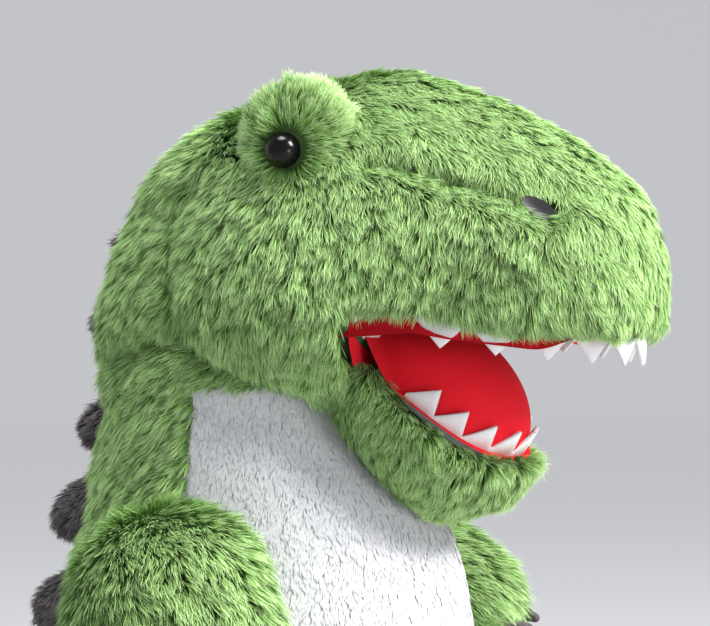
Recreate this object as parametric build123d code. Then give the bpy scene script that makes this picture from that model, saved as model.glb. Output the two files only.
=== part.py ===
"""Stuffed tyrannosaur, standing on its two feet and the tip of its tail.

Millimetres, +Z up. The animal faces -Y and its own right side is -X. The origin is on
the ground, under the middle of the bounding box. Every sewn panel, wad of filling, eye,
claw, tooth strip and back spike is its own solid in its own node.
"""
from build123d import *
from math import cos, radians, sin
import os

# Driving dimensions -----------------------------------------------------------------
SKIN = 3.0            # thickness of the plush fabric with its pile pressed flat
GAP = 0.3             # clearance between soft pieces that move against each other
BIG = 600.0           # side of the boxes that stand for half spaces

# Torso: height, middle along Y, half width, half depth of each oval section
TORSO = [(58, -8, 50, 54), (66, -9, 68, 73), (85, -10, 80, 86), (120, -14, 83, 92),
         (160, -17, 76, 92), (206, -17, 70.6, 87), (240, -15, 63, 76),
         (255, -12, 60, 69), (270, -8, 57, 64), (283, -5, 54, 59), (290, -4, 53, 57)]
BELLY_SEAM_Y = -20.0  # the white front meets the green sides in this upright plane

# Neck: a ball of filling; the head turns and nods about its middle
NECK = (0, -10, 300)
NECK_R = 52.0
NECK_BASE = 290.0     # level of the joint between the torso and the neck
HEAD_BASE = 299.0     # lower rim of the head round the neck

# Head: place along Y, height of the middle, half width, half height of each section
HEAD = [(50, 310, 26, 20), (46, 312, 40, 32), (32, 318, 54, 57), (10, 322, 61, 75),
        (-18, 326, 66, 83), (-53, 330, 66, 85), (-80, 332, 60, 84), (-117, 332, 51, 73),
        (-151, 330, 46, 60), (-175, 328, 40, 47), (-188, 327, 30, 34), (-194, 326, 14, 17)]
PALATE_Z = 310.0      # roof of the mouth
LINING = 2.5          # red short-pile lining
GUSSET_SEAM = ((-85, 378), (-156, 357))   # (y, z) of the seam along the snout
GUSSET_HALF = 28.0    # half width of the top panel over the back of the head

# Jaw: sections along its own axis, which slopes down from the hinge
JAW_HINGE = (-80, 298)          # y, z of the hinge line across the mouth corners
JAW_SLOPE = 38.0                # degrees below level
JAW_R = 15.0
JAW = [(-4, 0, 44, 13.5), (20, -5.5, 45, 14.5), (40, -9, 42, 16), (58, -9, 35, 16.5),
       (72, -7, 25, 13), (79, -5, 11, 7)]
LIP_V = 3.0                     # level of the lower lip above the jaw's axis
LIP_START = 2.0                 # the red lining starts this far ahead of the hinge
TONGUE = ((0, 30, 2), (33, 30, 22))         # middle and half sizes in the jaw's frame

# Felt teeth: half width and length of the curved strip, tooth height, pitch in degrees
FELT = 1.8
TOOTH_ROOT = 3.0                # uncut height of the strip that is sewn in
TOOTH_SWEEP = 84                # the last notch's place round the oval, in degrees
TOOTH_GAP = 0.93                # a notch's width at the tips as a share of a tooth's
UPPER_TEETH = (44, 86, 10.5, 16)
LOWER_TEETH = (37, 50, 10.0, 20)
UPPER_TEETH_Y = -101.0          # middle of the upper strip's oval
LOWER_TEETH_U = 19.0            # middle of the lower strip's oval, along the jaw
LOWER_TEETH_V = 5.0             # foot of the lower strip above the jaw's axis

# Eyes, brows and nostrils, on the animal's right; the left ones are mirrored
EYE = (-62.5, -53, 385)
EYE_R = 7.5
EYE_TURN = 20.0                 # degrees that the eye looks ahead of straight sideways
SHANK_R = 2.0
SHANK_L = 9.0
WASHER_R = 8.0
WASHER_IN = 5.0                 # the washer sits this far behind the eye, inside the brow
BROW = ((-42, -53, 391), (22, 26, 25))
NOSTRIL = (-40.5, -156, 364)
NOSTRIL_R = (6.0, 3.6)

# Arms: sections from the shoulder to the hand, in the arm's own frame
SHOULDER = (-69.5, -18, 200)
ARM_TILT = 10.0                 # the flank leans out this much
ARM_PITCH = {"right": 52.0, "left": 14.0}   # degrees below level at rest
ARM_OUT = -22.0                 # the arm's middle stands this far off the flank
ARM = [(-36, 9, 10), (-30, 24, 27), (-6, 34, 40), (25, 30, 34), (48, 26, 26),
       (66, 19, 19), (74, 9, 9)]
SHOULDER_FLAT = (48.0, 30.0)    # radius and depth of the flat that the arm turns on
CLAW_R = 4.6
CLAW_L = 15.0
HAND_CLAWS = ((-11, -2), (0, -5), (11, -2))  # across and up from the hand's middle
HAND_SUNK = 6.0                 # how far the claws reach into the hand
CLAW_FAN = 1.4                  # degrees that a claw turns out for each millimetre across

# Legs: thigh and foot ovals, on the right
THIGH = ((-66, -16, 74), (44, 60, 55))
FOOT = ((-70, -42, 18), (34, 62, 26))
SOLE = (24, 45, 2.5)
TOE_CLAWS = (-17, 0, 17)        # across from the foot's middle
TOE_SUNK = 7.0
TOE_UP = 11.0
TOE_SIZE = (1.35, 1.1)          # a toe claw's radius and length against a hand claw's

# Tail: place along Y, height of the middle, half width, half height of each section
TAIL_ROOT = (0, 58, 84)
TAIL_R = 46.0
TAIL = [(62, 80, 42, 43), (85, 68, 40, 41), (120, 50, 33, 37), (150, 36, 25, 33.5),
        (172, 28, 17, 24.5), (188, 22, 9, 13), (194, 20, 4, 6)]
TAIL_BELLY_Z = 0.42             # the white underside's share of each section's height

# Back spikes: y, z of the root, angle above level, length, width along the back
HEAD_SPIKES = [(38, 343, 26, 17, 18), (46, 315, 6, 19, 20)]
BACK_SPIKES = [(53, 273, -10, 24, 27), (59, 235, -10, 31, 36), (66, 192, -5, 34, 38),
               (70, 150, 0, 36, 38)]
TAIL_SPIKES = [(108, 88, 62, 31, 34), (139, 65, 58, 26, 30), (166, 47, 55, 20, 24)]
SPIKE_THICK = 0.42              # a spike's thickness as a share of its width
SPIKE_SUNK = 12.0               # how far its root reaches under the seam
SPIKE_TIP = 1 / 7               # the round tip's radius as a share of its width

BEANS = ((0, -42, 86), (46, 40, 17))


# Shapes ------------------------------------------------------------------------------
def oval_body(middle, half):
    """A closed egg with the given half sizes."""
    return Pos(*middle) * scale(Sphere(1), by=tuple(half))


def upright_loft(rows, less=0.0, open_top=False):
    """Oval sections stacked along Z, each drawn in by `less`."""
    last = len(rows) - 1
    faces = []
    for i, (z, cy, a, b) in enumerate(rows):
        level = z + (less if i == 0 else 0) - (less if i == last and not open_top else 0)
        faces.append(Pos(0, cy, level) * Ellipse(a - less, b - less))
    return loft(faces)


def lengthwise_loft(rows, less=0.0):
    """Oval sections strung along Y, each drawn in by `less`."""
    ends = {0: -less if rows[0][0] > rows[-1][0] else less,
            len(rows) - 1: less if rows[0][0] > rows[-1][0] else -less}
    faces = []
    for i, (y, cz, a, b) in enumerate(rows):
        face = Plane(origin=(0, y + ends.get(i, 0), cz), x_dir=(1, 0, 0), z_dir=(0, -1, 0))
        faces.append(face * Ellipse(a - less, b - less))
    return loft(faces)


def block(x=(-BIG, BIG), y=(-BIG, BIG), z=(-BIG, BIG)):
    """A box between two limits along each axis."""
    middle = [(low + high) / 2 for low, high in (x, y, z)]
    return Pos(*middle) * Box(*[high - low for low, high in (x, y, z)])


def both(name, solid):
    """The right piece and its mirror image on the left."""
    return {f"{name}_right": solid, f"{name}_left": mirror(solid, Plane.YZ)}


def spike(y, z, rise, length, width):
    """A flat stuffed cone that stands on the back, its round tip pointing away."""
    tip_r = width * SPIKE_TIP
    cone = Pos(0, 0, (length - SPIKE_SUNK) / 2) * Cone(width / 2, tip_r, length + SPIKE_SUNK)
    tip = Pos(0, 0, length) * Sphere(tip_r)
    flat = scale(cone + tip, by=(SPIKE_THICK, 1, 1))
    return Pos(0, y, z) * Rot(-(90 - rise), 0, 0) * flat


def tooth_strip(half, length, tall, pitch):
    """A curved felt strip, its upper edge straight and its lower edge cut in a zigzag."""
    outer = extrude(Ellipse(half, length), -tall)
    inner = extrude(Ellipse(half - FELT, length - FELT), -tall)
    strip = (outer - inner) & block(y=(-BIG, 0))
    count = int(TOOTH_SWEEP / pitch)
    for i in range(-count - 1, count + 1):
        turn = (i + 0.5) * pitch
        if abs(turn) > TOOTH_SWEEP:
            continue
        c, sn = cos(radians(turn)), sin(radians(turn))
        wide = TOOTH_GAP * radians(pitch) * (length * abs(sn) + half * abs(c)) / 2
        notch = Polygon((0, -TOOTH_ROOT), (wide, -tall - 1), (-wide, -tall - 1))
        cut = extrude(Plane.XZ * notch, 4 * FELT, both=True)
        strip -= Pos(half * sn, -length * c, 0) * Rot(0, 0, turn_of_normal(half, length, turn)) * cut
    return strip


def turn_of_normal(half, length, turn):
    """Degrees from -Y to the outward normal of an oval at parameter `turn`."""
    nx, ny = sin(radians(turn)) / half, cos(radians(turn)) / length
    return Vector(0, -1, 0).get_signed_angle(Vector(nx, -ny, 0), Vector(0, 0, 1))


def claw(radius, length):
    """A small stuffed cone with a round tip, pointing along -Y."""
    body = Pos(0, 0, length / 2) * Cone(radius, radius * 0.45, length)
    return Rot(90, 0, 0) * (body + Pos(0, 0, length) * Sphere(radius * 0.45))


# Torso, neck -------------------------------------------------------------------------
def torso_parts():
    """Side panels, white front, filling and the bag of beans."""
    socket = Pos(*TAIL_ROOT) * Sphere(TAIL_R + GAP)
    flats = shoulder_disc(-1) + mirror(shoulder_disc(-1), Plane.YZ)
    outer = upright_loft(TORSO) - socket - flats
    inner = upright_loft(TORSO, SKIN, open_top=True) - socket - shoulder_disc(-1 - SKIN)
    inner -= mirror(shoulder_disc(-1 - SKIN), Plane.YZ)
    beans = oval_body(*BEANS)
    shell = outer - inner
    rear = shell & block(y=(BELLY_SEAM_Y, BIG))
    return outer, {
        "torso_stuffing": inner - beans,
        "bean_bag": beans,
        "belly_panel": shell & block(y=(-BIG, BELLY_SEAM_Y)),
        "body_side_right": rear & block(x=(-BIG, 0)),
        "body_side_left": rear & block(x=(0, BIG)),
    }


def arm_place():
    """From the right arm's own frame to the animal's."""
    return Pos(*SHOULDER) * Rot(0, ARM_TILT, 0)


def shoulder_disc(inward):
    """The space beyond the right shoulder's flat, which lies `inward` of the arm."""
    radius, depth = SHOULDER_FLAT
    disc = Rot(0, 90, 0) * Cylinder(radius, depth)
    return arm_place() * Pos(-depth / 2 - inward - 1, 0, 0) * disc


def neck_part():
    """The dome of filling that carries the head."""
    dome = Pos(*NECK) * Sphere(NECK_R)
    return {"neck_stuffing": dome & block(z=(NECK_BASE + GAP, BIG))}


# Head --------------------------------------------------------------------------------
def head_parts():
    """Side panels, top panel, brows, filling, eyes, nostrils, palate and teeth."""
    dome = Pos(*NECK) * Sphere(NECK_R + GAP)
    hinge = Pos(0, *JAW_HINGE) * Rot(0, 90, 0) * Cylinder(JAW_R + GAP, 200)
    mouth_y = JAW_HINGE[0]
    keep = block(y=(mouth_y, BIG), z=(HEAD_BASE, BIG)) + block(z=(PALATE_Z, BIG))
    keep_in = block(y=(mouth_y, BIG), z=(HEAD_BASE, BIG)) + block(z=(PALATE_Z + LINING, BIG))
    outer = (lengthwise_loft(HEAD) & keep) - dome - hinge
    inner = (lengthwise_loft(HEAD, SKIN) & keep_in) - dome - hinge
    palate = outer & block(y=(-BIG, mouth_y - JAW_R - GAP), z=(PALATE_Z, PALATE_Z + LINING))
    shell = outer - inner - palate

    (y0, z0), (y1, z1) = GUSSET_SEAM
    rise = (z0 - z1) / (y0 - y1)
    low, far = z0 - rise * (y0 - mouth_y), z0 - rise * (y0 + 220)
    above = extrude(Plane.YZ * Polygon((mouth_y, low), (-220, far), (-220, BIG), (mouth_y, BIG)),
                    100, both=True)
    top = above + block(x=(-GUSSET_HALF, GUSSET_HALF), y=(mouth_y, BIG), z=(HEAD_BASE, BIG))

    eye_place = Pos(*EYE) * Rot(0, 0, EYE_TURN) * Rot(0, -90, 0)
    bead = Sphere(EYE_R) & Pos(0, 0, EYE_R) * Box(30, 30, 2 * EYE_R)
    shank = Pos(0, 0, -SHANK_L / 2) * Cylinder(SHANK_R, SHANK_L)
    disc = Pos(0, 0, -WASHER_IN) * (Cylinder(WASHER_R, 1.6) - Cylinder(SHANK_R, 1.6))
    bead, shank, disc = [eye_place * piece for piece in (bead, shank, disc)]
    eye = bead + shank
    brow = oval_body(*BROW) - outer - eye - disc
    nostril_place = Pos(*NOSTRIL) * Rot(0, 0, 14) * Rot(0, -90, 0)
    nostril = (nostril_place * extrude(Ellipse(NOSTRIL_R[1], NOSTRIL_R[0]), 12, both=True)) & shell

    side = (shell - top) & block(x=(-BIG, 0))
    parts = {"head_stuffing": inner, "head_top_gusset": shell & top, "palate_lining": palate}
    parts.update(both("head_side", side))
    parts.update(both("brow", brow))
    parts.update(both("eye", eye))
    parts.update(both("eye_washer", disc))
    parts.update(both("nostril", nostril))
    parts["head_top_gusset"] -= nostril + mirror(nostril, Plane.YZ)
    strip = tooth_strip(*UPPER_TEETH)
    parts["upper_teeth"] = Pos(0, UPPER_TEETH_Y, PALATE_Z) * strip
    for i, row in enumerate(HEAD_SPIKES, 1):
        parts[f"head_spike_{i}"] = spike(*row) - outer - dome
    return parts


# Jaw ---------------------------------------------------------------------------------
def jaw_place():
    """From the jaw's own frame, -Y forward along its slope, to the animal's."""
    return Pos(0, *JAW_HINGE) * Rot(JAW_SLOPE, 0, 0)


def jaw_body(less):
    """The jaw with its knuckle and the stuffed tongue, drawn in by `less`."""
    rows = [(-u, v, a, b) for u, v, a, b in JAW]
    (tx, tu, tv), (hx, hu, hv) = TONGUE
    body = lengthwise_loft(rows, less)
    knuckle = Rot(0, 90, 0) * Cylinder(JAW_R - less, 2 * (JAW[0][2] - less))
    tongue = oval_body((tx, -tu, tv), (hx - less, hu - less, hv - less))
    return body + knuckle + tongue


def jaw_parts():
    """Green skin, red tongue lining, filling and the lower teeth."""
    outer, inner = jaw_body(0), jaw_body(SKIN)
    shell = outer - inner
    over = block(y=(-BIG, -LIP_START), z=(LIP_V, BIG))
    strip = Pos(0, -LOWER_TEETH_U, LOWER_TEETH_V) * mirror(tooth_strip(*LOWER_TEETH), Plane.XY)
    shell -= strip
    inner -= strip
    parts = {"jaw_skin": shell - over, "tongue_lining": shell & over, "jaw_stuffing": inner,
             "lower_teeth": strip}
    return {name: jaw_place() * solid for name, solid in parts.items()}


# Arms, legs, tail --------------------------------------------------------------------
def arm_solid(less):
    """One arm, pointing along -Y, its flat side on the plane x = -less."""
    rows = [(-d, 0, a, b) for d, a, b in ARM]
    return (Pos(ARM_OUT, 0, 0) * lengthwise_loft(rows, less)) & block(x=(-BIG, -GAP - less))


def arm_parts(side):
    """Outer and inner panel, filling and three claws of one arm."""
    outer, inner = arm_solid(0), arm_solid(SKIN)
    shell = outer - inner
    reach = ARM[-1][0] - HAND_SUNK
    claws = [Pos(ARM_OUT + off, -reach, up) * Rot(0, 0, -off * CLAW_FAN) * claw(CLAW_R, CLAW_L)
             for off, up in HAND_CLAWS]
    claws = [piece - outer for piece in claws]
    parts = {"arm_outer": shell & block(x=(-BIG, ARM_OUT)),
             "arm_inner": shell & block(x=(ARM_OUT, BIG)),
             "arm_stuffing": inner, "hand_claws": Compound(children=[solid_of(c) for c in claws])}
    place = arm_place() * Rot(ARM_PITCH[side], 0, 0)
    placed = {f"{name}_{side}": place * solid for name, solid in parts.items()}
    if side == "left":
        placed = {name: mirror(solid, Plane.YZ) for name, solid in placed.items()}
    return placed


def solid_of(part):
    """The largest solid of a shape, without the crumbs of a cut."""
    return max(part.solids(), key=lambda one: one.volume)


def leg_parts(torso):
    """Leg panel, filling, sole and three toe claws, on both sides."""
    sole_top = SOLE[2]
    over_sole = block(z=(sole_top, BIG))
    outer = (oval_body(*THIGH) + oval_body(*FOOT)) & over_sole
    (thigh, thigh_half), (foot, foot_half) = THIGH, FOOT
    inner = oval_body(thigh, [h - SKIN for h in thigh_half])
    inner += oval_body(foot, [h - SKIN for h in foot_half])
    tail = Pos(*TAIL_ROOT) * Sphere(TAIL_R + GAP)
    inner = (inner & over_sole) - torso - tail
    outer = outer - torso - tail
    sole = Pos(foot[0], foot[1], 0) * extrude(Ellipse(SOLE[0], SOLE[1]), sole_top)
    toes = []
    wider, longer = TOE_SIZE
    for off in TOE_CLAWS:
        front = foot_half[1] * (1 - (off / foot_half[0]) ** 2) ** 0.5
        place = Pos(foot[0] + off, foot[1] - front + TOE_SUNK, TOE_UP)
        toe = place * claw(CLAW_R * wider, CLAW_L * longer)
        toes.append(solid_of(toe - outer))
    parts = {"leg_skin": solid_of(outer - inner), "leg_stuffing": solid_of(inner),
             "foot_sole": sole, "toe_claws": Compound(children=toes)}
    placed = {}
    for name, solid in parts.items():
        placed.update(both(name, solid))
    return placed


def tail_parts():
    """Side panels, white underside, filling and spikes of the tail."""
    outer = lengthwise_loft(TAIL) + Pos(*TAIL_ROOT) * Sphere(TAIL_R)
    inner = lengthwise_loft(TAIL, SKIN) + Pos(*TAIL_ROOT) * Sphere(TAIL_R - SKIN)
    shell = outer - inner
    profile = [(y, cz - b * TAIL_BELLY_Z) for y, cz, a, b in TAIL]
    start, end = profile[0], profile[-1]
    under = extrude(Plane.YZ * Polygon((0, start[1]), start, *profile[1:-1], (220, end[1]),
                                       (220, -50), (0, -50)), 100, both=True)
    upper = shell - under
    parts = {"tail_stuffing": inner, "tail_underside": shell & under,
             "tail_side_right": upper & block(x=(-BIG, 0)),
             "tail_side_left": upper & block(x=(0, BIG))}
    for i, row in enumerate(TAIL_SPIKES, 1):
        parts[f"tail_spike_{i}"] = spike(*row) - outer
    return parts


def main():
    """Builds every node and writes one STEP file for each."""
    os.makedirs("parts", exist_ok=True)
    torso, parts = torso_parts()
    parts.update(neck_part())
    clear = Pos(*TAIL_ROOT) * Sphere(TAIL_R + GAP) + Pos(*NECK) * Sphere(NECK_R + GAP)
    for i, row in enumerate(BACK_SPIKES, 1):
        parts[f"back_spike_{i}"] = solid_of(spike(*row) - torso - clear)
    parts.update(head_parts())
    parts.update(jaw_parts())
    parts.update(arm_parts("right"))
    parts.update(arm_parts("left"))
    parts.update(leg_parts(torso))
    parts.update(tail_parts())
    for name, solid in parts.items():
        export_step(solid, f"parts/{name}.step")
    print(len(parts), "nodes")


main()
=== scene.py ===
"""A stuffed tyrannosaur in long green faux fur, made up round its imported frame.

Lengths are written in millimetres and turned into metres by MM where a mesh is made. The animal faces -Y,
its right side is -X, and it stands on the ground at z = 0.
"""

import math

import bpy
import numpy as np
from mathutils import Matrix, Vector


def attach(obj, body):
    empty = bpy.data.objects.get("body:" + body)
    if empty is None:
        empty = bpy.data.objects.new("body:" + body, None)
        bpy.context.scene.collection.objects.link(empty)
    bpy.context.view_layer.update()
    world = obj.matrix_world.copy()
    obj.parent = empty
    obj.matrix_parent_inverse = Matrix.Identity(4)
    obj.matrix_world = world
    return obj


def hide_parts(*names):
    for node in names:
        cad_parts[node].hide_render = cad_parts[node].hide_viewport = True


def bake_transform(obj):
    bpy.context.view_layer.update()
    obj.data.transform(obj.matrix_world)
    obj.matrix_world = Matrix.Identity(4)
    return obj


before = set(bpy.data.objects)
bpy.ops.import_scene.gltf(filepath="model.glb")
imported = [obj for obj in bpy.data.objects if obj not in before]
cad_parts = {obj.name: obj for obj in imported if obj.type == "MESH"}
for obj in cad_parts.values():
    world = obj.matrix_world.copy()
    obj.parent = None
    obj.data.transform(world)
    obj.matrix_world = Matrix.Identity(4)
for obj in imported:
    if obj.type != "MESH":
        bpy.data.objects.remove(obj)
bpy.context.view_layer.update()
MM = 0.001


# Studio ---------------------------------------------------------------------------------------------
# A pale round backdrop that rises from the floor in one sweep, a broad soft light high in front of the
# snout, a weak one low in front, one overhead, and a long lens level with the mouth.
LOOK_AT = (0, -56, 320)
CAMERA_TURN = -65.0
CAMERA_RISE = 0.0
CAMERA_AWAY = 1.10
CAMERA_LENS = 133.0
BACKDROP = [(0.0, 0.0), (4.6, 0.0), (4.9, 0.0), (5.06, 0.05), (5.1, 0.2), (5.1, 1.0), (5.1, 4.2)]


def turned(rows, steps):
    """A surface of revolution about Z: every (radius, height) of rows, turned round in equal steps."""
    angle = np.linspace(0, 2 * math.pi, steps, endpoint=False)
    r, h = np.array(rows, float).T
    x = r[:, None] * np.cos(angle)
    y = r[:, None] * np.sin(angle)
    z = np.repeat(h[:, None], steps, 1)
    return np.stack([x, y, z], -1)


def grid_mesh(name, points, wrap=False, smooth=True):
    """A mesh whose faces join neighbours in an (n, m, 3) array of points in metres, so that du x dv is out.
    With wrap, the last column joins the first."""
    n, m = points.shape[:2]
    index = np.arange(n * m).reshape(n, m)
    if wrap:
        index = np.concatenate([index, index[:, :1]], 1)
    quads = np.stack([index[:-1, :-1], index[1:, :-1], index[1:, 1:], index[:-1, 1:]], -1).reshape(-1, 4)
    mesh = bpy.data.meshes.new(name)
    mesh.from_pydata(points.reshape(-1, 3).tolist(), [], quads.tolist())
    mesh.polygons.foreach_set("use_smooth", np.full(len(mesh.polygons), smooth))
    mesh.update()
    made = bpy.data.objects.new(name, mesh)
    bpy.context.scene.collection.objects.link(made)
    return made


def plain(name, colour, rough):
    """A material with one base colour, given as sRGB bytes, and one roughness."""
    made = bpy.data.materials.new(name)
    made.use_nodes = True
    shader = made.node_tree.nodes["Principled BSDF"]
    shader.inputs["Base Color"].default_value = linear(colour)
    shader.inputs["Roughness"].default_value = rough
    return made


def linear(colour):
    """Scene-linear red, green, blue and alpha of a colour in sRGB bytes."""
    c = np.array(colour, float) / 255
    return tuple(np.where(c > 0.04045, ((c + 0.055) / 1.055) ** 2.4, c / 12.92)) + (1.0,)


backdrop = grid_mesh("backdrop", turned(BACKDROP, 96), wrap=True)
smooth_sweep = backdrop.modifiers.new("sweep", "SUBSURF")
smooth_sweep.levels = smooth_sweep.render_levels = 2
paper = plain("backdrop_paper", (140, 140, 141), 0.9)
paper.node_tree.nodes["Principled BSDF"].inputs["Emission Color"].default_value = linear((196, 197, 201))
paper.node_tree.nodes["Principled BSDF"].inputs["Emission Strength"].default_value = 0.66
backdrop.data.materials.append(paper)

scene = bpy.context.scene
scene.view_settings.view_transform = "Standard"
world = bpy.data.worlds.new("studio")
world.use_nodes = True
world.node_tree.nodes["Background"].inputs["Color"].default_value = (0.93, 0.95, 1.0, 1)
world.node_tree.nodes["Background"].inputs["Strength"].default_value = 0.36
scene.world = world


def soft_light(name, place, aim, size, power, colour=(1, 1, 1)):
    """A square area light at place, in metres, that faces aim."""
    lamp = bpy.data.lights.new(name, "AREA")
    lamp.size = size
    lamp.energy = power
    lamp.color = colour
    made = bpy.data.objects.new(name, lamp)
    made.location = place
    made.rotation_euler = (Vector(aim) - Vector(place)).to_track_quat("-Z", "Y").to_euler()
    scene.collection.objects.link(made)
    return made


soft_light("key", (0.12, -1.45, 1.45), (0, -0.1, 0.33), 0.7, 84, (1.0, 0.985, 0.95))
soft_light("front", (-0.7, -1.7, 0.12), (0, -0.1, 0.27), 0.6, 11, (1.0, 0.99, 0.97))
soft_light("overhead", (-0.2, 0.0, 1.9), (0, -0.05, 0.3), 0.8, 34)

camera_data = bpy.data.cameras.new("camera")
camera_data.lens = CAMERA_LENS
camera = bpy.data.objects.new("camera", camera_data)
turn, rise = math.radians(CAMERA_TURN), math.radians(CAMERA_RISE)
back = Vector((math.sin(turn) * math.cos(rise), -math.cos(turn) * math.cos(rise), math.sin(rise)))
camera.location = Vector(LOOK_AT) * MM + back * CAMERA_AWAY
camera.rotation_euler = (-back).to_track_quat("-Z", "Y").to_euler()
camera_data.clip_start = 0.05
scene.collection.objects.link(camera)
scene.camera = camera


# Green body panels ----------------------------------------------------------------------------------
# Faux fur on a knitted backing, cut with the nap running down and back, sewn inside out and turned. Each
# panel is a thin skin with its pile as real strands, and the strands gather in locks.
TORSO = [(56, -8, 1, 1), (56.5, -8, 28, 30), (58.5, -8, 50, 54), (67, -9, 67, 72), (85, -10, 79, 85),
         (120, -14, 82, 91), (160, -17, 75, 91), (206, -17, 69.5, 86), (240, -15, 63, 76),
         (262, -10, 58.5, 67), (280, -6, 55, 60.5), (296, -3, 53, 56), (308, -6, 48, 48),
         (320, -10, 36, 36), (324, -10, 1, 1)]
BELLY_SEAM_Y = -10.0
SPIKE_Z = (343, 315, 273, 235, 192, 150)
PUFF = 5.0
SPINE_VALLEY = 2.5
BACKING_DEPTH = 3.8
MOST_STRANDS = 95000
LOWEST_STRAND = 0.4


def normalise(a):
    """Each row of a, scaled to length 1."""
    return a / np.maximum(np.linalg.norm(a, axis=-1, keepdims=True), 1e-9)


def between(rows, t):
    """Columns of rows at places t, 0 at the first row and 1 at the last, by Catmull-Rom between rows."""
    rows = np.array(rows, float)
    place = np.clip(t, 0, 1) * (len(rows) - 1)
    i = np.minimum(place.astype(int), len(rows) - 2)
    f = (place - i)[..., None]
    before, after = np.maximum(i - 1, 0), np.minimum(i + 2, len(rows) - 1)
    a, b, c, d = rows[before], rows[i], rows[i + 1], rows[after]
    value = b + 0.5 * f * (c - a + f * (2 * a - 5 * b + 4 * c - d + f * (3 * (b - c) + d - a)))
    return [value[..., k] for k in range(rows.shape[1])]


def bump(d, width):
    """1 at distance 0, falling to 0 as a bell of that width."""
    return np.exp(-(d / width) ** 2)


def step(value, start, end):
    """0 before start, 1 after end, smooth between."""
    f = np.clip((value - start) / (end - start), 0, 1)
    return f * f * (3 - 2 * f)


def torso_surface(t, turn):
    """Ovals stacked along Z, turn 0 and 1 at the spine. The spine puffs out between the spikes' seams."""
    z, cy, a, b = between(TORSO, t)
    angle = 2 * math.pi * turn
    puff = 0
    for low, high in zip(SPIKE_Z[1:], SPIKE_Z[:-1]):
        puff = puff + PUFF * bump(z - (low + high) / 2, (high - low) * 0.30)
    grow = puff * bump(np.sin(angle / 2) * 2, 0.42)
    valley = -SPINE_VALLEY * bump(np.sin(angle / 2) * b * 2 / 6, 1.0) * step(z, 80, 110)
    out = grow + valley
    return np.stack([(a + out) * np.sin(angle), cy + (b + out) * np.cos(angle), z], -1)


def normals_of(surface, t, turn, e=5e-4):
    """Unit normals of a surface by differences, on the side away from its own middle line."""
    t0, t1 = np.clip(t - e, 0, 1), np.clip(t + e, 0, 1)
    along = surface(t1, turn) - surface(t0, turn)
    across = surface(t, turn + e) - surface(t, turn - e)
    return normalise(np.cross(along, across))


def scattered(surface, per_mm2, rng, cells=260):
    """Random places (t, turn), as many in each cell of the surface as its area asks for."""
    middles = (np.arange(cells) + 0.5) / cells
    t, turn = [a.ravel() for a in np.meshgrid(middles, middles, indexing="ij")]
    half = 0.5 / cells
    along = surface(np.clip(t + half, 0, 1), turn) - surface(np.clip(t - half, 0, 1), turn)
    across = surface(t, turn + half) - surface(t, turn - half)
    area = np.linalg.norm(np.cross(along, across), axis=-1)
    density = per_mm2(surface(t, turn)) if callable(per_mm2) else per_mm2
    count = np.floor(area * density + rng.random(len(t))).astype(int)
    t, turn = np.repeat(t, count), np.repeat(turn, count)
    t = np.clip(t + (rng.random(len(t)) - 0.5) / cells, 0, 1)
    return t, turn + (rng.random(len(turn)) - 0.5) / cells


def cell_random(cell, seed):
    """The same random number from 0 to 1 each time for a whole-number cell."""
    c = cell.astype(np.int64)
    h = (c[..., 0] * 73856093) ^ (c[..., 1] * 19349663) ^ (c[..., 2] * 83492791) ^ (seed * 2654435761)
    h = (h ^ (h >> 13)) * 1274126177
    return ((h ^ (h >> 16)) & 0xFFFFFF) / float(0xFFFFFF)


def locks(p, size):
    """The nearest of one random point in each cell of a lattice, and that point's own random number."""
    cell = np.floor(p / size)
    best = np.full(len(p), 1e9)
    centre = np.zeros_like(p)
    tone = np.zeros(len(p))
    around = np.stack(np.meshgrid(*[(-1, 0, 1)] * 3, indexing="ij"), -1).reshape(-1, 3)
    for offset in around:
        c = cell + offset
        q = (c + np.stack([cell_random(c, seed) for seed in (1, 2, 3)], -1)) * size
        d = ((q - p) ** 2).sum(1)
        near = d < best
        best[near], centre[near] = d[near], q[near]
        tone[near] = cell_random(c, 4)[near]
    return centre, tone


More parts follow.
